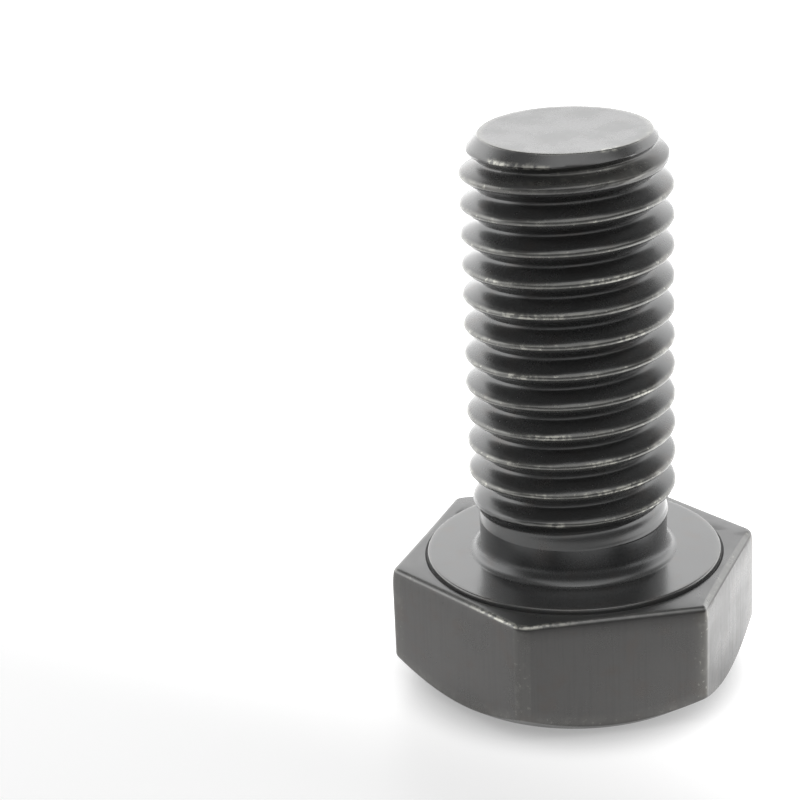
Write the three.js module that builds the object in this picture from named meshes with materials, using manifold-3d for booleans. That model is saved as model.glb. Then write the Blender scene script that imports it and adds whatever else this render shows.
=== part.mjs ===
// Hexagon head bolt, M12 x 1.75 x 25 mm, threaded up to the head, for a 19 mm spanner.
//
// The bolt stands on the outer face of its head. The origin is the centre of that face and +Z runs
// along the bolt's axis to its tip. Two corners of the hexagon point along +X and -X, and two of its
// flats face +Y and -Y. All lengths are in millimetres.
//
// The real bolt is one cold forging with a rolled thread. Each mesh here is one feature of it, from
// the head upwards: they meet face to face in planes square to the axis.

import * as THREE from 'three';
import { mergeVertices } from 'three/addons/utils/BufferGeometryUtils.js';
import Module from 'manifold-3d';

// Hexagon head.
const ACROSS_FLATS = 18.7;
const HEAD_HEIGHT = 7.45;
const CORNER_ROUNDING = 0.5;
const TOP_EDGE_BEVEL = 0.22;
const CHAMFER_CIRCLE_RADIUS = 8.43;
const CHAMFER_ANGLE = THREE.MathUtils.degToRad(34.75);

// Washer face, the round seat that stands a little proud of the hexagon.
const WASHER_RADIUS = 8.5;
const WASHER_STEP = 0.25;
const WASHER_EDGE = 0.06;

// Plain neck, at the diameter of the blank that the thread is rolled on.
const NECK_RADIUS = 5.43;
const NECK_LENGTH = 2.1;
const FILLET_WIDTH = 0.57;
const FILLET_HEIGHT = 0.95;

// Metric coarse thread.
const PITCH = 1.75;
const CREST_RADIUS = 5.93;
const ROOT_RADIUS = 4.93;
const PITCH_RADIUS = 5.43;
const FLANK_ANGLE = THREE.MathUtils.degToRad(30);
const RUN_OUT_LENGTH = 1.4;
const CREST_HEIGHT_AT_X = 21.84;

// Shank length from the seat to the tip, and the taper and chamfer that end it.
const LENGTH = 25;
const TAPER_START = 22.6;
const CHAMFER_START = 24.4;
const TAPERED_RADIUS = 5.38;
const TIP_RADIUS = 4.63;

// Facets of a full turn.
const HEAD_FACETS = 72;
const SHANK_FACETS = 36;
const ARC_FACETS = 4;

// Heights above the face that the bolt stands on.
const HEX_TOP = HEAD_HEIGHT - WASHER_STEP;
const SEAT = HEAD_HEIGHT;
const NECK_TOP = SEAT + NECK_LENGTH;
const POINT_BASE = SEAT + TAPER_START;
const TIP = SEAT + LENGTH;

const MERGE_TOLERANCE = 1e-4;
const CLEARANCE = 1;

const wasm = await Module();
wasm.setup();

// The solid inside a closed geometry.
function solidFrom(geometry) {
  const bare = new THREE.BufferGeometry();
  bare.setAttribute('position', geometry.getAttribute('position'));
  bare.setIndex(geometry.getIndex());
  const merged = mergeVertices(bare, MERGE_TOLERANCE);
  return new wasm.Manifold(new wasm.Mesh({
    numProp: 3,
    vertProperties: merged.getAttribute('position').array,
    triVerts: new Uint32Array(merged.getIndex().array),
  }));
}

// The surface of a solid, shaded facet by facet.
function surfaceOf(solid) {
  const { vertProperties, triVerts } = solid.getMesh();
  const geometry = new THREE.BufferGeometry();
  geometry.setAttribute('position', new THREE.Float32BufferAttribute(vertProperties, 3));
  geometry.setIndex(Array.from(triVerts));
  const faceted = geometry.toNonIndexed();
  faceted.computeVertexNormals();
  return faceted;
}

// A body of revolution about Z. Its profile holds [radius, height] points, from the axis outwards
// along the bottom, up the outside and back to the axis along the top.
function revolve(profile, facets) {
  const points = profile.map(([radius, height]) => new THREE.Vector2(radius, height));
  return new THREE.LatheGeometry(points, facets).rotateX(Math.PI / 2);
}

function meshOf(name, geometry, color, roughness, metalness) {
  const material = new THREE.MeshStandardMaterial({ color, roughness, metalness });
  const mesh = new THREE.Mesh(geometry, material);
  mesh.name = name;
  return mesh;
}

// A regular hexagon with rounded corners, one of them on +X.
function hexagonOutline() {
  const outline = new THREE.Shape();
  const sixth = Math.PI / 3;
  const cornerCentre = (ACROSS_FLATS / 2 - CORNER_ROUNDING) / Math.cos(sixth / 2);
  for (let corner = 0; corner < 6; corner++) {
    const angle = corner * sixth;
    const x = cornerCentre * Math.cos(angle);
    const y = cornerCentre * Math.sin(angle);
    outline.absarc(x, y, CORNER_ROUNDING, angle - sixth / 2, angle + sixth / 2);
  }
  return outline;
}

// The hexagonal prism, with a bevel round its top edge and a cone that cuts its bottom corners.
function hexHead() {
  const prism = new THREE.ExtrudeGeometry(hexagonOutline(), {
    depth: HEX_TOP - 2 * TOP_EDGE_BEVEL,
    curveSegments: ARC_FACETS,
    bevelSegments: 1,
    bevelThickness: TOP_EDGE_BEVEL,
    bevelSize: TOP_EDGE_BEVEL,
    bevelOffset: -TOP_EDGE_BEVEL,
  });
  prism.translate(0, 0, TOP_EDGE_BEVEL);
  const outerRadius = ACROSS_FLATS / Math.sqrt(3) + CLEARANCE;
  const coneTop = (outerRadius - CHAMFER_CIRCLE_RADIUS) * Math.tan(CHAMFER_ANGLE);
  const chamfer = revolve([
    [0, 0],
    [CHAMFER_CIRCLE_RADIUS, 0],
    [outerRadius, coneTop],
    [outerRadius, HEX_TOP + CLEARANCE],
    [0, HEX_TOP + CLEARANCE],
  ], HEAD_FACETS);
  return surfaceOf(solidFrom(prism).intersect(solidFrom(chamfer)));
}

// The low round disc. Its top is split into a bare ring and the circle that the neck stands on.
function washerFace() {
  return revolve([
    [0, HEX_TOP],
    [WASHER_RADIUS, HEX_TOP],
    [WASHER_RADIUS, SEAT - WASHER_EDGE],
    [WASHER_RADIUS - WASHER_EDGE, SEAT],
    [NECK_RADIUS + FILLET_WIDTH, SEAT],
    [0, SEAT],
  ], HEAD_FACETS);
}

// The plain neck, with the fillet that joins it to the seat.
function neck() {
  const fillet = [];
  for (let step = 0; step <= ARC_FACETS; step++) {
    const angle = (step / ARC_FACETS) * (Math.PI / 2);
    const radius = NECK_RADIUS + FILLET_WIDTH * (1 - Math.sin(angle));
    fillet.push([radius, SEAT + FILLET_HEIGHT * (1 - Math.cos(angle))]);
  }
  return revolve([
    [0, SEAT],
    ...fillet,
    [NECK_RADIUS, NECK_TOP],
    [0, NECK_TOP],
  ], SHANK_FACETS);
}

// A line up the bolt's axis for extruding along. The frame turns with the thread as it rises, so a
// section's x is its distance from the axis and its y is a height.
class TurningAxis extends THREE.LineCurve3 {
  constructor(startTurn, turns) {
    const phase = SEAT + CREST_HEIGHT_AT_X;
    super(
      new THREE.Vector3(0, 0, phase + startTurn * PITCH),
      new THREE.Vector3(0, 0, phase + (startTurn + turns) * PITCH),
    );
    this.startTurn = startTurn;
    this.turns = turns;
  }

  computeFrenetFrames(segments) {
    const frames = { tangents: [], normals: [], binormals: [] };
    for (let segment = 0; segment <= segments; segment++) {
      const angle = 2 * Math.PI * (this.startTurn + this.turns * segment / segments);
      frames.tangents.push(new THREE.Vector3(-Math.sin(angle), Math.cos(angle), 0));
      frames.normals.push(new THREE.Vector3(Math.cos(angle), Math.sin(angle), 0));
      frames.binormals.push(new THREE.Vector3(0, 0, -1));
    }
    return frames;
  }
}

// Half the height of the thread's ridge at some radius.
function halfRidge(radius) {
  return PITCH / 4 - (radius - PITCH_RADIUS) * Math.tan(FLANK_ANGLE);
}

// The thread before it is trimmed: a ridge that winds round a core, longer than the shank.
function endlessThread() {
  const foot = ROOT_RADIUS - 0.1;
  const inside = ROOT_RADIUS - 0.4;
  const ridgeSection = new THREE.Shape([
    new THREE.Vector2(inside, -halfRidge(foot)),
    new THREE.Vector2(foot, -halfRidge(foot)),
    new THREE.Vector2(CREST_RADIUS, -halfRidge(CREST_RADIUS)),
    new THREE.Vector2(CREST_RADIUS, halfRidge(CREST_RADIUS)),
    new THREE.Vector2(foot, halfRidge(foot)),
    new THREE.Vector2(inside, halfRidge(foot)),
  ]);
  const startTurn = -Math.ceil((CREST_HEIGHT_AT_X - NECK_LENGTH) / PITCH) - 1;
  const turns = Math.ceil(LENGTH / PITCH);
  const ridge = new THREE.ExtrudeGeometry(ridgeSection, {
    steps: turns * SHANK_FACETS,
    extrudePath: new TurningAxis(startTurn, turns),
  });
  const core = revolve([
    [0, NECK_TOP],
    [NECK_RADIUS, NECK_TOP],
    [ROOT_RADIUS, NECK_TOP + RUN_OUT_LENGTH],
    [ROOT_RADIUS, TIP + CLEARANCE],
    [0, TIP + CLEARANCE],
  ], SHANK_FACETS);
  return solidFrom(ridge).add(solidFrom(core));
}

// The thread from the top of the neck to the start of the point. Its first crests grow out of the
// neck along a cone.
function threadedShank(thread) {
  const outerRadius = CREST_RADIUS + CLEARANCE;
  const growth = (CREST_RADIUS - NECK_RADIUS) / RUN_OUT_LENGTH;
  const envelope = revolve([
    [0, NECK_TOP],
    [NECK_RADIUS, NECK_TOP],
    [outerRadius, NECK_TOP + (outerRadius - NECK_RADIUS) / growth],
    [outerRadius, POINT_BASE],
    [0, POINT_BASE],
  ], SHANK_FACETS);
  return surfaceOf(thread.intersect(solidFrom(envelope)));
}

// The tip, where the crests are low and a chamfer leads to the flat end.
function chamferedPoint(thread) {
  const envelope = revolve([
    [0, POINT_BASE],
    [CREST_RADIUS, POINT_BASE],
    [TAPERED_RADIUS, SEAT + CHAMFER_START],
    [TIP_RADIUS, TIP],
    [0, TIP],
  ], SHANK_FACETS);
  return surfaceOf(thread.intersect(solidFrom(envelope)));
}

const thread = endlessThread();
const group = new THREE.Group();
group.add(
  meshOf('hex_head', hexHead(), 0x4a4a49, 0.45, 0.85),
  meshOf('washer_face', washerFace(), 0x5c5d5c, 0.25, 0.9),
  meshOf('neck', neck(), 0x3a3b3b, 0.35, 0.9),
  meshOf('threaded_shank', threadedShank(thread), 0x353636, 0.4, 0.9),
  meshOf('chamfered_point', chamferedPoint(thread), 0x4f5050, 0.4, 0.9),
);

export default group;
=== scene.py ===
"""The looks of a hexagon head bolt in black-oxide steel, standing on its head on a pale floor.

Lengths are in metres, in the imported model's frame: Z runs up the bolt's axis, from the head's outer face to
the tip. The sizes that the frame holds are read from it. The others are named below, in millimetres times MM.
Tables are in plain degrees and millimetres, and their heights are above the seat.
"""

import math

import bpy
import numpy as np
from mathutils import Matrix, Vector


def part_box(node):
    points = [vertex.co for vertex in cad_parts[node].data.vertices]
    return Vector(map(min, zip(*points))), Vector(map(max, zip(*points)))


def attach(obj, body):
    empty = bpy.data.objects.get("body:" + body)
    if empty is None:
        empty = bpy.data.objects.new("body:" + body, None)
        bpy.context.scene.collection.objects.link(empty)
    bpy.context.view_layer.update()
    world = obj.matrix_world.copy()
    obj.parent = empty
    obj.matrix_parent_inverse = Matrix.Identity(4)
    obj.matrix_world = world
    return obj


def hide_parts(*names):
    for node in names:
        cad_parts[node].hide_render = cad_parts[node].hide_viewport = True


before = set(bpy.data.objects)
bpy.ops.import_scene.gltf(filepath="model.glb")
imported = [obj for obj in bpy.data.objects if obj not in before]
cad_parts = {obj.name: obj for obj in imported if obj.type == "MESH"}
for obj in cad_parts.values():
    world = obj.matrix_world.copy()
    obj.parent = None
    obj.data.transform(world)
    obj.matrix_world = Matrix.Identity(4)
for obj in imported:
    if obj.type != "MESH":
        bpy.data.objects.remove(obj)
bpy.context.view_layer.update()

MM = 0.001
TURN = 2 * math.pi

# Upper corners of the CAD nodes, and the heights and radii that they give.
HEX_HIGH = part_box("hex_head")[1]
WASHER_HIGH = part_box("washer_face")[1]
NECK_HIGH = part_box("neck")[1]
THREAD_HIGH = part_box("threaded_shank")[1]
POINT_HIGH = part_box("chamfered_point")[1]
HALF_FLATS = HEX_HIGH.y
HEX_TOP = HEX_HIGH.z
WASHER_RADIUS = WASHER_HIGH.x
SEAT = WASHER_HIGH.z
FOOT_RADIUS = NECK_HIGH.x
NECK_TOP = NECK_HIGH.z
POINT_BASE = THREAD_HIGH.z
TIP = POINT_HIGH.z

# Head. For each flat, the direction that it faces and how much further from the axis it is than half the
# width across flats, then the rounding of the corner after each. A forged hexagon is never quite regular.
FLATS = ((-30, 0.0), (30, 0.18), (90, 0.0), (150, 0.0), (-148.7, -0.12), (-90, 0.0))
CORNER_ROUNDINGS = (0.6, 0.6, 0.5, 0.5, 1.1, 0.35)
STEPS_A_SIDE = 32
STEPS_A_CORNER = 10
CHAMFER_CIRCLE_RADIUS = 8.43 * MM
CHAMFER_ANGLE = math.radians(34.75)
CHAMFER_EDGE_ROUNDING = 0.16 * MM
CHAMFER_EDGE_STEPS = 4
ROLL_OVER_HEIGHT = 1.2 * MM
ROLL_OVER_DEPTH = 0.13 * MM
TOP_EDGE_ROUNDING = 0.3 * MM
TOP_EDGE_STEPS = 7

# Groove round the washer face. It has a deep side, and fades out on the far side, between two cosines of the
# angle from the deep one.
STEP_GROOVE_WIDTH = 0.16 * MM
STEP_GROOVE_DEPTH = 0.12 * MM
STEP_GROOVE_DEEP_SIDE = math.radians(-113)
STEP_GROOVE_FADE = (-0.6, -0.35)

# Wear on the head, from 0 to 1: on its upright corners, which are where the outline is further from the axis
# than CORNER_REACH times the flats, at the foot of the flats and on the top edge. A strip of one corner is
# worn most.
CORNER_REACH = 1.11
CORNER_WEAR = 0.3
FOOT_WEAR = 0.4
TOP_EDGE_WEAR = 0.6
WORN_CORNER = math.radians(-60)
WORN_CORNER_HALF = math.radians(1.3)

# The top edge is rubbed bright round one corner. The fade is over minus the angle from it, in radians.
RUBBED_CORNER = math.radians(-122)
RUBBED_CORNER_FADE = (-0.5, -0.1)

# One flat is scored, and has a bevel in place of a rounded top edge. The others are scored faintly.
SCORED_FLAT = math.radians(-30)
SCORED_FLAT_HALF = math.radians(29)
FAINT_SCORES = 0.15
HEAD_TOP_POLISH = 0.8

# Seat and neck. The neck flares a little from its waist to the thread. The foot of its fillet is polished.
WASHER_EDGE_ROUNDING = 0.1 * MM
NECK_RADIUS = 5.4 * MM
FILLET_HEIGHT = 0.95 * MM
FILLET_STEPS = 14
NECK_WAIST = SEAT + 1.35 * MM
NECK_FLARE_POWER = 1.6
FOOT_POLISH_FULL = SEAT + 0.02 * MM
FOOT_POLISH_END = SEAT + 0.3 * MM

# Thread. Its crests aren't quite true: they waver by three waves along the helix, each with its own frequency
# and phase.
PITCH = 1.75 * MM
PITCH_RADIUS = 5.43 * MM
CREST_RADIUS = 5.93 * MM
ROOT_RADIUS = 4.93 * MM
FLANK_SLOPE = 1 / math.tan(math.radians(30))
CREST_SOFTNESS = 0.28 * MM
ROOT_SOFTNESS = 0.34 * MM
CREST_AT_X = SEAT + 21.84 * MM
CREST_WOBBLE = 0.006 * MM
CREST_WAVES = ((7.3, 0), (17.9, 1), (31.3, 2))

# Run-out, where the thread fades into a plain shank. Crests and grooves reach their full size at some height,
# the first turns sag, and a low rim stands at the foot.
RUN_OUT_RADIUS = 5.37 * MM
CREST_FULL = SEAT + 4.0 * MM
GROOVE_START = SEAT + 2.6 * MM
GROOVE_FULL = SEAT + 4.0 * MM
GROOVE_SAG = 0.3 * MM
RUN_OUT_RIM = 0.05 * MM
RIM_START = NECK_TOP - 0.1 * MM
RIM_END = NECK_TOP + 0.8 * MM

# Point: height of a crest and the radius that it reaches, then height and radius of the chamfer. The last
# ridge sags, from nothing at one height to all of it at another.
CREST_TAPER = ((22.7, 5.93), (23.1, 5.82), (23.55, 5.58), (24.3, 5.5))
CHAMFER = ((20.0, 8.95), (25.0, 4.7))
CHAMFER_SOFTNESS = CREST_SOFTNESS / 2
TIP_RADIUS = CHAMFER[-1][1] * MM
LAST_RIDGE_SAG = 0.15 * MM
LAST_RIDGE_START = SEAT + 23.0 * MM
LAST_RIDGE_END = SEAT + 23.8 * MM

# The end face was sheared a little out of square: it is lowest towards one side, and dished. Its rim is
# rounded in rows, each with how far it is in from the chamfer and above it.
END_FACE_DROP = 0.17 * MM
END_FACE_DISH = 0.05 * MM
END_FACE_LOW_SIDE = math.radians(-115)
RIM_EDGE = ((0.015, 0.03), (0.05, 0.055), (0.1, 0.065))

# The chamfer is partly polished, from none at one height to all of it at another.
CHAMFER_POLISH = 0.65
CHAMFER_POLISH_START = SEAT + 24.1 * MM
CHAMFER_POLISH_FULL = SEAT + 24.3 * MM

# Columns round each turned piece, and rows across one pitch of the thread, as shares of it, from one crest to
# the next. The rows are close together where the profile turns.
ROUND_COLUMNS = 240
HALF_PITCH_ROWS = (0, 0.03, 0.06, 0.08, 0.1, 0.13, 0.18, 0.25, 0.32, 0.37, 0.41, 0.45)
PITCH_ROWS = HALF_PITCH_ROWS + (0.5,) + tuple(1 - share for share in HALF_PITCH_ROWS[:0:-1])

# Radii between which a crest's wear sets in.
CREST_WEAR_START = CREST_RADIUS - 0.16 * MM
CREST_WEAR_FULL = CREST_RADIUS - 0.03 * MM

# Streaks where the oxide is rubbed off the crests: turns below CREST_AT_X, and the angles that each spans. A
# streak is centred a little above the crest. Its fades are over the angle inwards from its ends, in radians,
# and over minus the distance from its centre line.
CREST_STREAKS = (
    (2, -150, -140), (2, -95, -62), (3, -142, -102), (4, -132, -122), (4, -78, -55), (5, -140, -118),
    (6, -70, -50), (7, -128, -100), (8, -96, -74), (9, -128, -112), (9, -98, -56), (10, -118, -104),
    (10, -66, -46),
)
STREAK_ABOVE_CREST = 0.03 * MM
STREAK_END_FADE = (-0.03, 0.1)
STREAK_SIDE_FADE = (-0.2 * MM, -0.08 * MM)

# Rubbed places on the point, by their angles and heights: the foot of the chamfer and the rim of the end
# face. Then the flank of the last ridge, which is a little worn. Fades are in radians and in millimetres.
POINT_RUBS = ((-152, -112, 24.0, 24.3), (-79, -66, 24.76, 25.1))
POINT_RUB_FADES = (0.03, 0.04)
WORN_FLANK = (-104, -50, 23.2, 23.95)
WORN_FLANK_FADES = (0.4, 0.2)

# Mean reflectance of each part of the skin, and of the steel where it is worn through. The brown tint and the
# score lines are shares of the skin's own.
HEAD_TINT = (0.112, 0.11, 0.108)
SEAT_TINT = (0.17, 0.171, 0.171)
NECK_TINT = (0.096, 0.097, 0.098)
THREAD_TINT = (0.12, 0.121, 0.121)
POINT_TINT = (0.12, 0.12, 0.119)
BARE_STEEL = (0.48, 0.475, 0.43)
BROWN_SHARES = (1.02, 0.93, 0.88)
SCORE_SHADE = 0.35

# Patterns of the skin, in cells a millimetre, and its relief.
CLOUDS_PER_MM = 0.5
BROWN_PER_MM = 0.8
PATCHES_PER_MM = 1.3
STREAK_GAPS_PER_MM = 3.5
GRAIN_PER_MM = 5.0
SPECKS_PER_MM = 5.0
SCORES_PER_MM = 6.0
SCORE_STRETCH = 30
GRAIN_RELIEF = 0.6
RELIEF_HEIGHT = 0.001 * MM

# Floor. It is a hair under the head, so that the two faces don't coincide.
FLOOR_HEIGHT = -0.01 * MM
FLOOR_HALF_SIDE = 3.0
FLOOR_TINT = (0.42, 0.42, 0.42, 1)
WHITE = (1, 1, 1, 1)

# Lamp.
LAMP_POSITION = (-0.02, -0.26, 1.15)
LAMP_SIZE = (0.6, 0.24)
LAMP_WATTS = 0.35

# Camera.
VIEW_AZIMUTH = math.radians(-7.68)
VIEW_ELEVATION = math.radians(21.15)
VIEW_ROLL = math.radians(2.78)
VIEW_DISTANCE = 138.16 * MM
AIM_LEFT_OF_AXIS = 10.11 * MM
AIM_ABOVE_SEAT = 8.44 * MM
FOCAL_LENGTH_MM = 106.8
SENSOR_WIDTH_MM = 36
NEAREST_SEEN = 0.005
FURTHEST_SEEN = 20


def smooth_min(a, b, softness):
    """The lower of two curves, with the corner where they cross rounded off."""
    share = np.clip(0.5 + 0.5 * (b - a) / softness, 0, 1)
    return b * (1 - share) + a * share - softness * share * (1 - share)


def smooth_max(a, b, softness):
    return -smooth_min(-a, -b, softness)


def smooth_step(value, low, high):
    share = np.clip((value - low) / (high - low), 0, 1)
    return share * share * (3 - 2 * share)


def turned_from(angles, direction):
    """How far each angle is from a direction, from minus half a turn to half a turn."""
    return (angles - direction + math.pi) % TURN - math.pi


def span(start, end):
    """The middle of a range of angles given in degrees, and half its width, both in radians."""
    return math.radians((start + end) / 2), math.radians((end - start) / 2)


def between(a, b, shares):
    """Rows on the way from one row to another, at shares of the way."""
    return [a + (b - a) * share for share in shares]


def arc(start, corner, end, steps):
    """Rows of a rounded corner: a curve from start to end that is drawn towards the corner."""
    share = np.linspace(0, 1, steps + 1)[:, None, None]
    return (1 - share) ** 2 * start + 2 * share * (1 - share) * corner + share ** 2 * end


def number_points(rings):
    """Which points of a closed skin's rows are new, and the number of each point.

    A point that repeats the one below it has that one's number, and each pole is one point.
    """
    rows, columns = rings.shape[:2]
    fresh = np.ones((rows, columns), bool)
    fresh[1:] = np.abs(np.diff(rings, axis=0)).max(axis=2) > 1e-9
    fresh[[0, -1], 1:] = False
    numbers = np.zeros((rows, columns), int)
    numbers[fresh] = np.arange(fresh.sum())
    for row in range(rows):
        numbers[row] = np.where(fresh[row], numbers[row], numbers[row - 1] if row else 0)
    numbers[-1] = numbers[-1, 0]
    return fresh, numbers


def faces_between(numbers, next_row):
    """Faces between each row and the one over it, without the corners that repeat."""
    right = np.roll(numbers, -1, axis=1)
    right[:, -1] = numbers[next_row, 0]
    quads = np.stack([numbers[:-1], right[:-1], right[1:], numbers[1:]], axis=2).reshape(-1, 4)
    faces = []
    for quad in quads.tolist():
        loop = [v for i, v in enumerate(quad) if v != quad[i - 1]]
        if len(set(loop)) > 2:
            faces.append(loop)
    return faces


def skin(name, angles, rings, marks, next_row=None):
    """A closed mesh round the Z axis.

    rings has a (radius, height) for each row and each angle, from the pole under the body to the pole over
    it, and marks has, for each kind of mark, how strong it is there. next_row gives, for each row, the row
    that it runs on into after a turn, which is another one in a helix.
    """
    radius, height = rings[..., 0], rings[..., 1]
    fresh, numbers = number_points(rings)
    points = np.stack([radius * np.cos(angles), radius * np.sin(angles), height], axis=2)[fresh]
    next_row = np.arange(len(rings)) if next_row is None else next_row
    mesh = bpy.data.meshes.new(name)
    mesh.from_pydata(points.tolist(), [], faces_between(numbers, next_row))
    for mark, values in marks.items():
        data = mesh.attributes.new(mark, "FLOAT", "POINT").data
        data.foreach_set("value", values[fresh].astype(np.float32))
    mesh.shade_smooth()
    mesh.set_sharp_from_angle(angle=math.radians(40))
    piece = bpy.data.objects.new(name, mesh)
    bpy.context.scene.collection.objects.link(piece)
    return piece


def hexagon():
    """Angles round the rounded hexagon, and how far its outline is from the axis at each."""
    facing = np.radians([flat[0] for flat in FLATS])
    normals = np.stack([np.cos(facing), np.sin(facing)], axis=1)
    distances = HALF_FLATS + np.array([flat[1] for flat in FLATS]) * MM
    roundings = np.array(CORNER_ROUNDINGS) * MM
    centres, starts, ends = [], [], []
    for k, rounding in enumerate(roundings):
        pair = [k, (k + 1) % 6]
        centre = np.linalg.solve(normals[pair], distances[pair] - rounding)
        first, last = centre + rounding * normals[pair]
        centres.append(centre)
        starts.append(math.atan2(first[1], first[0]))
        ends.append(math.atan2(last[1], last[0]))
    angles, radii = [], []
    for k, rounding in enumerate(roundings):
        corner = (ends[k] - starts[k]) % TURN
        turned = np.linspace(0, corner, STEPS_A_CORNER, endpoint=False) + starts[k]
        along = centres[k] @ np.stack([np.cos(turned), np.sin(turned)])
        angles.append(turned)
        radii.append(along + np.sqrt(rounding ** 2 - centres[k] @ centres[k] + along ** 2))
        following = (k + 1) % 6
        side = (starts[following] - ends[k]) % TURN
        turned = np.linspace(0, side, STEPS_A_SIDE, endpoint=False) + ends[k]
        angles.append(turned)
        radii.append(distances[following] / np.cos(turned - facing[following]))
    return np.concatenate(angles), np.concatenate(radii)


def head_rings(angles, outline, on_scored_flat):
    """Rows of the head from its outer face to its top, and the first row of each of two edges.

    They are the edge between the chamfer and the flats, and the top edge.
    """

    def ring(radius, height):
        return np.stack([radius + 0 * outline, height + 0 * outline], axis=1)

    up = np.array([0, 1])
    outwards = np.array([1, 0])
    circle = ring(CHAMFER_CIRCLE_RADIUS, 0)
    chamfer_end = ring(outline, (outline - CHAMFER_CIRCLE_RADIUS) * math.tan(CHAMFER_ANGLE))
    cone = (chamfer_end - circle) / np.linalg.norm(chamfer_end - circle, axis=1, keepdims=True)
    soft = CHAMFER_EDGE_ROUNDING
    rows = [ring(0, 0)]
    rows += between(rows[0], circle, (0.3, 0.6, 0.85, 0.95))
    rows += list(arc(circle - outwards * soft, circle, circle + cone * soft, CHAMFER_EDGE_STEPS))
    rows += between(circle, chamfer_end, (0.25, 0.5, 0.75))
    chamfer_edge = len(rows)
    rows += list(arc(chamfer_end - cone * soft, chamfer_end, chamfer_end + up * soft, CHAMFER_EDGE_STEPS))
    roll_start = ring(outline, HEX_TOP - ROLL_OVER_HEIGHT)
    rows += between(chamfer_end, roll_start, (0.15, 0.4, 0.7, 1))
    for share in (0.2, 0.4, 0.6, 0.75):
        rows.append(roll_start + up * ROLL_OVER_HEIGHT * share - outwards * ROLL_OVER_DEPTH * share ** 2)
    top_edge = len(rows)
    edge_start = rows[-1]
    top_corner = ring(outline - ROLL_OVER_DEPTH, HEX_TOP)
    edge_end = top_corner - outwards * TOP_EDGE_ROUNDING
    bevel = (edge_start + edge_end) / 2
    top_corner = np.where(on_scored_flat[:, None], bevel, top_corner)
    rows += list(arc(edge_start, top_corner, edge_end, TOP_EDGE_STEPS))[1:]
    groove_depth = STEP_GROOVE_DEPTH * smooth_step(np.cos(angles - STEP_GROOVE_DEEP_SIDE), *STEP_GROOVE_FADE)
    groove_edge = ring(WASHER_RADIUS + STEP_GROOVE_WIDTH, HEX_TOP)
    rows += between(rows[-1], groove_edge, (0.5, 1))
    rows.append(groove_edge - outwards * STEP_GROOVE_WIDTH * 0.3 - up * groove_depth[:, None] * 0.5)
    rows.append(ring(WASHER_RADIUS, HEX_TOP - groove_depth))
    rows += between(rows[-1], ring(0, HEX_TOP), (0.5, 1))
    return np.stack(rows), chamfer_edge, top_edge


def make_head():
    """The forged hexagon: chamfered underneath, its flats leaning in under a softened top edge."""
    angles, outline = hexagon()
    on_scored_flat = np.cos(angles - SCORED_FLAT) > math.cos(SCORED_FLAT_HALF)
    rings, chamfer_edge, top_edge = head_rings(angles, outline, on_scored_flat)
    wear, rub, scored, polished = np.zeros((4, *rings.shape[:2]))
    wear[chamfer_edge:top_edge, outline > HALF_FLATS * CORNER_REACH] = CORNER_WEAR
    wear[chamfer_edge:top_edge, np.cos(angles - WORN_CORNER) > math.cos(WORN_CORNER_HALF)] = 1
    wear[chamfer_edge:chamfer_edge + CHAMFER_EDGE_STEPS + 1] = FOOT_WEAR
    wear[top_edge + 1:top_edge + TOP_EDGE_STEPS - 1] = TOP_EDGE_WEAR
    near_rubbed_corner = smooth_step(-np.abs(turned_from(angles, RUBBED_CORNER)), *RUBBED_CORNER_FADE)
    rub[top_edge + 1:top_edge + TOP_EDGE_STEPS - 2] = near_rubbed_corner
    scored[chamfer_edge:top_edge] = np.where(on_scored_flat, 1, FAINT_SCORES)
    polished[top_edge + 1:] = HEAD_TOP_POLISH
    marks = {"wear": wear, "rub": rub, "scored": scored, "polished": polished}
    return skin("bolt_head", angles, rings, marks)


def revolve(name, profile, worn=()):
    """A body of revolution from its (radius, height) points. Rows in worn are worn edges."""
    angles = np.arange(ROUND_COLUMNS) * TURN / ROUND_COLUMNS
    rings = np.repeat(np.array(profile)[:, None], ROUND_COLUMNS, axis=1)
    wear = np.zeros(rings.shape[:2])
    wear[list(worn)] = 1
    return skin(name, angles, rings, {"wear": wear})


def make_washer_face():
    """The smooth round seat, with a crisp edge that is just broken."""
    corner = np.array([[WASHER_RADIUS, SEAT]])
    down = np.array([0, -WASHER_EDGE_ROUNDING])
    inwards = np.array([-WASHER_EDGE_ROUNDING, 0])
    edge = [tuple(point[0]) for point in arc(corner + down, corner, corner + inwards, 4)]
    foot = HEX_TOP - STEP_GROOVE_DEPTH
    side = [(0, foot), (WASHER_RADIUS * 0.9, foot), (WASHER_RADIUS, foot), (WASHER_RADIUS, HEX_TOP)]
    seat_radii = (WASHER_RADIUS - 0.3 * MM, FOOT_RADIUS + 1 * MM, FOOT_RADIUS - 0.1 * MM, FOOT_RADIUS / 2, 0)
    profile = side + edge + [(radius, SEAT) for radius in seat_radii]
    edge_rows = range(len(side), len(side) + len(edge))
    return revolve("bolt_washer_face", profile, worn=edge_rows)


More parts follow.
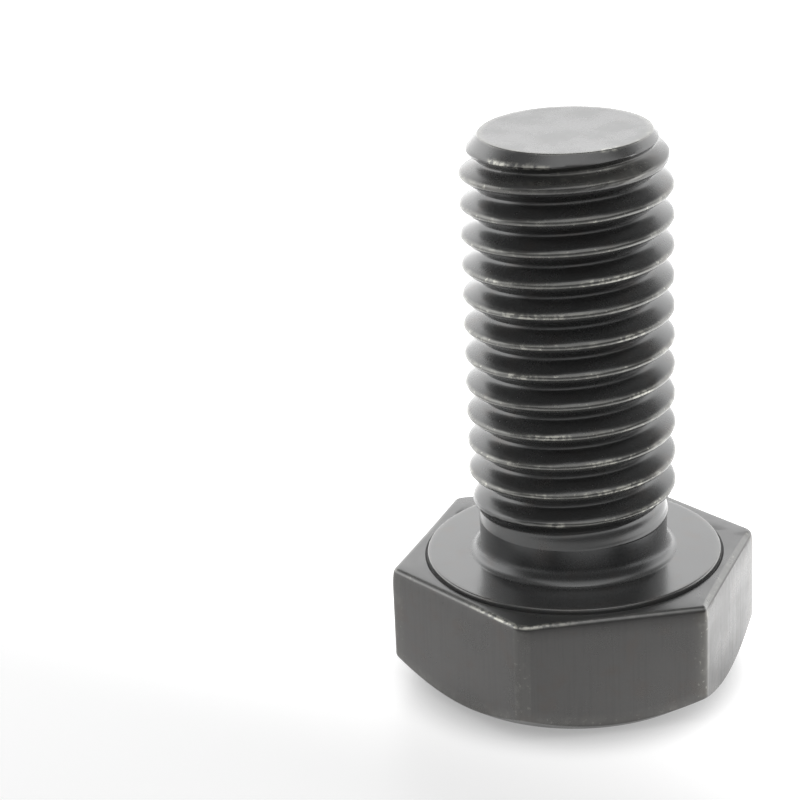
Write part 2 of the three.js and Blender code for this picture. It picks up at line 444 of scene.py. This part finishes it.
def make_neck():
    """The plain neck, on a fillet that leaves the seat level. It flares a little to meet the rolled part."""
    profile = [(0, SEAT), (FOOT_RADIUS / 2, SEAT)]
    for step in range(FILLET_STEPS + 1):
        angle = step / FILLET_STEPS * math.pi / 2
        radius = NECK_RADIUS + (FOOT_RADIUS - NECK_RADIUS) * (1 - math.sin(angle))
        profile.append((radius, SEAT + FILLET_HEIGHT * (1 - math.cos(angle))))
    rim = float(shank_radius(0.0, NECK_TOP))
    for share in (0, 0.2, 0.4, 0.6, 0.75, 0.85, 0.93):
        height = NECK_WAIST + (NECK_TOP - NECK_WAIST) * share
        profile.append((NECK_RADIUS + (rim - NECK_RADIUS) * share ** NECK_FLARE_POWER, height))
    profile += [(rim, NECK_TOP), (NECK_RADIUS / 2, NECK_TOP), (0, NECK_TOP)]
    piece = revolve("bolt_neck", profile)
    heights = np.array([vertex.co.z for vertex in piece.data.vertices])
    polish = 1 - smooth_step(heights, FOOT_POLISH_FULL, FOOT_POLISH_END)
    data = piece.data.attributes.new("polished", "FLOAT", "POINT").data
    data.foreach_set("value", polish.astype(np.float32))
    return piece


def limit(height, table):
    """A radius read off a table of heights above the seat and radii, both in millimetres."""
    at, reach = zip(*table)
    return np.interp(height, SEAT + np.array(at) * MM, np.array(reach) * MM)


def wobble(crest_height):
    """How far a crest is off its true radius, which is the same where one turn runs on into the next."""
    winding = TURN * (crest_height - CREST_AT_X) / PITCH
    return CREST_WOBBLE * sum(np.sin(winding * waves + phase) for waves, phase in CREST_WAVES)


def shank_radius(angle, height):
    """Radius of the rolled shank. The crest climbs one pitch in a turn, and neck and point limit it."""
    faded = 1 - smooth_step(height, GROOVE_START, GROOVE_FULL)
    folded = smooth_step(height, LAST_RIDGE_START, LAST_RIDGE_END)
    crest_height = CREST_AT_X + PITCH * angle / TURN - GROOVE_SAG * faded - LAST_RIDGE_SAG * folded
    offset = np.abs((height - crest_height + PITCH / 2) % PITCH - PITCH / 2)
    flank = PITCH_RADIUS + (PITCH / 4 - offset) * FLANK_SLOPE
    nearest_crest = crest_height + PITCH * np.round((height - crest_height) / PITCH)
    crest = limit(nearest_crest, CREST_TAPER) + wobble(nearest_crest)
    radius = smooth_min(smooth_max(flank, ROOT_RADIUS, ROOT_SOFTNESS), crest, CREST_SOFTNESS)
    grown = np.clip((height - NECK_TOP) / (CREST_FULL - NECK_TOP), 0, 1)
    ridge_height = CREST_RADIUS - RUN_OUT_RADIUS
    ridge = np.clip((radius - RUN_OUT_RADIUS) / ridge_height, 0, None) ** (2 - grown) * grown * ridge_height
    groove = np.minimum(radius - RUN_OUT_RADIUS, 0) * (1 - faded)
    rim = RUN_OUT_RIM * (1 - smooth_step(height, RIM_START, RIM_END))
    return smooth_min(RUN_OUT_RADIUS + ridge + groove + rim, limit(height, CHAMFER), CHAMFER_SOFTNESS)


def helix_rows(angles, low, high):
    """Heights of the rows of a helical mesh between two levels, and the row that each runs on into.

    Each row climbs one pitch in a turn, and is kept within the levels.
    """
    per_pitch = len(PITCH_ROWS)
    first = math.floor((np.min(low) - CREST_AT_X) / PITCH) - 2
    last = math.ceil((np.max(high) - CREST_AT_X) / PITCH) + 1
    shares = np.add.outer(np.arange(first, last), PITCH_ROWS).ravel()
    heights = CREST_AT_X + PITCH * (shares[:, None] + angles[None] / TURN)
    runs_on = np.minimum(np.arange(len(shares)) + per_pitch, len(shares) - 1)
    return np.clip(heights, low, high), runs_on


def within(angles, heights, place, fade_along, fade_across):
    """1 inside a place, which is a table's range of angles and of heights, and less towards its edges."""
    start, end, low, high = place
    middle, half = span(start, end)
    above = (heights - SEAT) / MM - (low + high) / 2
    along = smooth_step(half - np.abs(turned_from(angles, middle)), -fade_along, fade_along)
    return along * smooth_step((high - low) / 2 - np.abs(above), -fade_across, fade_across)


def rubs(angles, heights):
    """How rubbed each point of the shank is."""
    rub = np.zeros(heights.shape)
    for place in POINT_RUBS:
        rub = np.maximum(rub, within(angles, heights, place, *POINT_RUB_FADES))
    for turns, start, end in CREST_STREAKS:
        middle, half = span(start, end)
        away = turned_from(angles, middle)
        crest = CREST_AT_X + PITCH * ((middle + away) / TURN - turns)
        along = smooth_step(half - np.abs(away), *STREAK_END_FADE)
        across = smooth_step(-np.abs(heights - crest - STREAK_ABOVE_CREST), *STREAK_SIDE_FADE)
        rub = np.maximum(rub, along * across)
    return rub


def make_shank(name, low, high, cap):
    """A stretch of the rolled shank. cap gives the rows that close its top, from the rim to the axis."""
    angles = np.arange(ROUND_COLUMNS) * TURN / ROUND_COLUMNS
    heights, runs_on = helix_rows(angles, low, high)
    radii = shank_radius(angles[None], heights)
    side = np.stack([radii, heights], axis=2)
    bottom = np.stack([0 * angles, 0 * angles + low], axis=1)[None]
    top = np.stack([np.stack(np.broadcast_arrays(*row), axis=-1) for row in cap(angles, radii[-1])])
    rings = np.concatenate([bottom, side, top])
    next_row = np.concatenate([[0], runs_on + 1, np.arange(len(rings) - len(top), len(rings))])
    side_rows = slice(1, -len(top))
    rim_rows = 1 + len(heights) + np.arange(min(len(top), len(RIM_EDGE)))
    off_axis = rings[rim_rows, :, 0] > 0
    wear, rub = np.zeros((2, *rings.shape[:2]))
    worn_crests = smooth_step(radii, CREST_WEAR_START, CREST_WEAR_FULL)
    wear[side_rows] = np.maximum(worn_crests, within(angles, heights, WORN_FLANK, *WORN_FLANK_FADES))
    wear[rim_rows] = off_axis
    rub[side_rows] = rubs(angles, heights)
    rub[rim_rows] = rubs(angles, rings[rim_rows, :, 1]) * off_axis
    polished = smooth_step(rings[..., 1], CHAMFER_POLISH_START, CHAMFER_POLISH_FULL) * CHAMFER_POLISH
    return skin(name, angles, rings, {"wear": wear, "rub": rub, "polished": polished}, next_row)


def make_threaded_shank():
    return make_shank("bolt_thread", NECK_TOP, POINT_BASE, lambda angles, rim: [(0 * rim, POINT_BASE)])


def end_face_height(angles, radius):
    """Height of the sheared end face, without its dish."""
    towards_low_side = radius / TIP_RADIUS * np.cos(angles - END_FACE_LOW_SIDE)
    return TIP - END_FACE_DROP * (1 + towards_low_side) / 2


def make_point():
    """The end of the shank, closed by the sheared face."""
    angles = np.arange(ROUND_COLUMNS) * TURN / ROUND_COLUMNS
    brink = end_face_height(angles, TIP_RADIUS) - RIM_EDGE[-1][1] * MM

    def cap(angles, rim):
        rows = [(rim - inset * MM, brink + rise * MM) for inset, rise in RIM_EDGE]
        edge = rim - RIM_EDGE[-1][0] * MM
        for share in (0.93, 0.8, 0.6, 0.4, 0.2, 0):
            dish = END_FACE_DISH * (1 - share ** 2)
            rows.append((edge * share, end_face_height(angles, edge * share) - dish))
        return rows

    return make_shank("bolt_point", POINT_BASE, brink, cap)


class Shader:
    """A material's node tree. put fills a socket, and the other methods add a node and return its output.

    place is where a point is on the object, in millimetres.
    """

    def __init__(self, name):
        self.material = bpy.data.materials.new(name)
        self.material.use_nodes = True
        self.tree = self.material.node_tree
        self.principled = self.tree.nodes["Principled BSDF"]
        place = self.tree.nodes.new("ShaderNodeTexCoord").outputs["Object"]
        self.place = self.vector("MULTIPLY", place, (1 / MM,) * 3)

    def put(self, node, socket, value):
        if isinstance(value, bpy.types.NodeSocket):
            self.tree.links.new(value, node.inputs[socket])
        else:
            node.inputs[socket].default_value = value

    def vector(self, operation, a, b):
        node = self.tree.nodes.new("ShaderNodeVectorMath")
        node.operation = operation
        self.put(node, 0, a)
        self.put(node, 1, b)
        return node.outputs[0]

    def math(self, operation, a, b):
        node = self.tree.nodes.new("ShaderNodeMath")
        node.operation = operation
        self.put(node, 0, a)
        self.put(node, 1, b)
        return node.outputs[0]

    def length(self, a):
        node = self.tree.nodes.new("ShaderNodeVectorMath")
        node.operation = "LENGTH"
        self.put(node, 0, a)
        return node.outputs["Value"]

    def noise(self, per_mm, detail=2.0, stretch=(1, 1, 1)):
        """Noise with a number of cells in each millimetre, drawn out along the axes with a stretch over 1."""
        node = self.tree.nodes.new("ShaderNodeTexNoise")
        scaled = self.vector("MULTIPLY", self.place, tuple(per_mm / s for s in stretch))
        self.put(node, "Vector", scaled)
        self.put(node, "Scale", 1.0)
        self.put(node, "Detail", detail)
        return node.outputs["Fac"]

    def remap(self, value, low, high, to_low=0.0, to_high=1.0):
        node = self.tree.nodes.new("ShaderNodeMapRange")
        node.interpolation_type = "SMOOTHSTEP"
        for socket, number in enumerate((value, low, high, to_low, to_high)):
            self.put(node, socket, number)
        return node.outputs[0]

    def blend(self, share, a, b):
        node = self.tree.nodes.new("ShaderNodeMix")
        node.data_type = "RGBA"
        self.put(node, "Factor", share)
        self.put(node, 6, (*a, 1) if isinstance(a, tuple) else a)
        self.put(node, 7, (*b, 1) if isinstance(b, tuple) else b)
        return node.outputs[2]

    def attribute(self, name):
        node = self.tree.nodes.new("ShaderNodeAttribute")
        node.attribute_name = name
        return node.outputs["Fac"]

    def bump(self, height, distance):
        node = self.tree.nodes.new("ShaderNodeBump")
        self.put(node, "Height", height)
        self.put(node, "Strength", 1.0)
        self.put(node, "Distance", distance)
        return node.outputs["Normal"]


def oxide_colour(s, tint, mottle, clouds, grain, scores):
    """The skin's colour: mottled and a little brown, dark in its scores, and even where it is polished."""
    tone = s.math("ADD", s.math("MULTIPLY", clouds, 0.55), s.math("MULTIPLY", grain, 0.45))
    dark = tuple(channel * (1 - mottle) for channel in tint)
    light = tuple(channel * (1 + mottle) for channel in tint)
    oxide = s.blend(tone, dark, light)
    brown = s.remap(s.noise(BROWN_PER_MM, detail=2.0), 0.5, 0.75, 0.0, 0.5)
    oxide = s.blend(brown, oxide, tuple(channel * share for channel, share in zip(tint, BROWN_SHARES)))
    oxide = s.blend(scores, oxide, tuple(channel * SCORE_SHADE for channel in tint))
    return s.blend(s.attribute("polished"), oxide, SEAT_TINT)


def bare_share(s, worn):
    """How much bare steel shows: patches and specks of it on worn edges, and most of what is rubbed."""
    patches = s.remap(s.noise(PATCHES_PER_MM, detail=3.0), 0.5, 0.68, 0.0, 0.3 * worn)
    specks = s.remap(s.noise(SPECKS_PER_MM, detail=2.0), 0.63, 0.72, 0.0, 0.8 * worn)
    burnish = s.math("ADD", s.math("ADD", patches, specks), 0.25 * worn)
    on_edges = s.math("MULTIPLY", s.attribute("wear"), burnish)
    broken = s.remap(s.noise(STREAK_GAPS_PER_MM, detail=2.0), 0.38, 0.6, 0.0, 0.95)
    in_streaks = s.math("MULTIPLY", s.attribute("rub"), broken)
    return s.math("MAXIMUM", on_edges, in_streaks)


def black_oxide(name, tint, roughness, metallic, mottle=0.06, streaks=0.0, worn=0.5):
    """Black-oxide steel: finely grained, a little mottled, and worn to dull steel on its edges.

    tint is the mean reflectance, mottle how much it varies, streaks how deep the upright lines are where it
    is scored, and worn how much of a worn edge is bare metal. What isn't metallic of it scatters light like
    soot.
    """
    s = Shader(name)
    clouds = s.remap(s.noise(CLOUDS_PER_MM, detail=3.0), 0.3, 0.7)
    grain = s.noise(GRAIN_PER_MM, detail=1.0)
    lines = s.noise(SCORES_PER_MM, detail=1.0, stretch=(1, 1, SCORE_STRETCH))
    scored = s.attribute("scored")
    scores = s.math("MULTIPLY", scored, s.remap(lines, 0.36, 0.52, 0.4, 0.0))
    oxide = oxide_colour(s, tint, mottle, clouds, grain, scores)
    s.put(s.principled, "Base Color", s.blend(bare_share(s, worn), oxide, BARE_STEEL))
    s.put(s.principled, "Metallic", metallic)
    spread = s.math("MULTIPLY", s.math("ADD", clouds, grain), 0.5)
    s.put(s.principled, "Roughness", s.remap(spread, 0.2, 0.8, roughness * 0.9, roughness * 1.12))
    score_relief = s.math("MULTIPLY", lines, s.math("MULTIPLY", scored, streaks))
    height = s.math("ADD", s.math("MULTIPLY", grain, GRAIN_RELIEF), score_relief)
    s.put(s.principled, "Normal", s.bump(height, RELIEF_HEIGHT))
    return s.material


def dress(piece, node, material):
    """Makes a piece stand for a CAD node, in a material of its own."""
    piece.data.materials.append(material)
    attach(piece, "root")
    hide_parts(node)


def painted_floor_light(s):
    """The floor's painted light: more behind the bolt and to its right, less in front, with painted shade
    round its foot.
    """
    apart = s.tree.nodes.new("ShaderNodeSeparateXYZ")
    s.put(apart, 0, s.place)
    # Painted light: brighter towards the back and the right, dimmer towards the front and the left.
    across = s.math("ADD", apart.outputs["Y"], s.math("MULTIPLY", apart.outputs["X"], 0.9))
    glow = s.remap(across, -25.0, 28.0, 0.59, 1.8)
    # Dimmer still far in front of the bolt.
    glow = s.math("MULTIPLY", glow, s.remap(apart.outputs["Y"], -60.0, -25.0, 0.05, 1.0))
    # Painted contact shadow: the glow is dimmed within about 12 mm of the axis.
    return s.math("MULTIPLY", glow, s.remap(s.length(s.place), 8.5, 12.3, 0.43, 1.0))


def make_floor():
    """A wide, pale, slightly glossy floor, which glows with painted light."""
    near, far = -FLOOR_HALF_SIDE, FLOOR_HALF_SIDE
    corners = [(x, y, FLOOR_HEIGHT) for x, y in ((near, near), (far, near), (far, far), (near, far))]
    mesh = bpy.data.meshes.new("floor")
    mesh.from_pydata(corners, [], [(0, 1, 2, 3)])
    floor = bpy.data.objects.new("floor", mesh)
    bpy.context.scene.collection.objects.link(floor)
    s = Shader("pale_floor")
    s.put(s.principled, "Base Color", FLOOR_TINT)
    s.put(s.principled, "Roughness", 0.4)
    s.put(s.principled, "Specular IOR Level", 0.3)
    s.put(s.principled, "Emission Color", WHITE)
    # The floor's emission is painted light, with a painted contact shadow round the bolt's foot.
    s.put(s.principled, "Emission Strength", painted_floor_light(s))
    floor.data.materials.append(s.material)


def make_world():
    """A white studio: bright low down at the back and sides, dim in front, and lit from high up in front."""
    world = bpy.data.worlds.new("studio")
    bpy.context.scene.world = world
    world.use_nodes = True
    tree = world.node_tree
    background = tree.nodes["Background"]
    towards = tree.nodes.new("ShaderNodeTexCoord").outputs["Generated"]
    apart = tree.nodes.new("ShaderNodeSeparateXYZ")
    tree.links.new(towards, apart.inputs[0])

    def remap(value, low, high, to_low, to_high):
        node = tree.nodes.new("ShaderNodeMapRange")
        node.interpolation_type = "SMOOTHSTEP"
        for socket, number in enumerate((value, low, high, to_low, to_high)):
            if isinstance(number, bpy.types.NodeSocket):
                tree.links.new(number, node.inputs[socket])
            else:
                node.inputs[socket].default_value = number
        return node.outputs[0]

    low_light = remap(apart.outputs["Y"], -0.35, 0.25, 0.2, 2.1)
    high_light = remap(apart.outputs["Y"], -0.4, -0.1, 1.0, 0.2)
    light = remap(apart.outputs["Z"], 0.46, 0.66, low_light, high_light)
    tree.links.new(light, background.inputs["Strength"])
    background.inputs["Color"].default_value = WHITE


def make_lamp():
    """A wide soft lamp high over the bolt and a little in front, aimed at its foot."""
    data = bpy.data.lights.new("overhead", "AREA")
    data.shape = "RECTANGLE"
    data.size, data.size_y = LAMP_SIZE
    data.energy = LAMP_WATTS
    lamp = bpy.data.objects.new("overhead", data)
    lamp.location = LAMP_POSITION
    lamp.rotation_mode = "QUATERNION"
    lamp.rotation_quaternion = (-Vector(LAMP_POSITION)).to_track_quat("-Z", "Y")
    bpy.context.scene.collection.objects.link(lamp)


def make_camera():
    """A long lens that looks down at a point beside the axis and over the seat, and is rolled a little."""
    away = Vector((
        -math.sin(VIEW_AZIMUTH) * math.cos(VIEW_ELEVATION),
        math.cos(VIEW_AZIMUTH) * math.cos(VIEW_ELEVATION),
        -math.sin(VIEW_ELEVATION),
    ))
    level_right = away.cross(Vector((0, 0, 1))).normalized()
    roll = Matrix.Rotation(VIEW_ROLL, 3, away)
    right = roll @ level_right
    up = right.cross(away)
    data = bpy.data.cameras.new("camera")
    data.lens = FOCAL_LENGTH_MM
    data.sensor_width = SENSOR_WIDTH_MM
    data.clip_start = NEAREST_SEEN
    data.clip_end = FURTHEST_SEEN
    camera = bpy.data.objects.new("camera", data)
    camera.rotation_mode = "QUATERNION"
    camera.rotation_quaternion = Matrix((right, up, -away)).transposed().to_quaternion()
    seat_centre = Vector((0, 0, SEAT))
    camera.location = seat_centre - right * AIM_LEFT_OF_AXIS + up * AIM_ABOVE_SEAT - away * VIEW_DISTANCE
    bpy.context.scene.collection.objects.link(camera)
    bpy.context.scene.camera = camera


make_camera()
make_floor()
make_world()
make_lamp()

dress(make_head(), "hex_head",
      black_oxide("head_oxide", HEAD_TINT, 0.3, metallic=0.8, streaks=3.0, worn=0.5))
dress(make_washer_face(), "washer_face",
      black_oxide("seat_oxide", SEAT_TINT, 0.22, metallic=0.75, worn=0.2))
dress(make_neck(), "neck",
      black_oxide("neck_oxide", NECK_TINT, 0.25, metallic=0.85, worn=0.2))
dress(make_threaded_shank(), "threaded_shank",
      black_oxide("thread_oxide", THREAD_TINT, 0.25, metallic=0.87, worn=0.7))
dress(make_point(), "chamfered_point",
      black_oxide("point_oxide", POINT_TINT, 0.27, metallic=0.85, mottle=0.04, worn=0.7))

bpy.context.scene.view_settings.view_transform = "Standard"
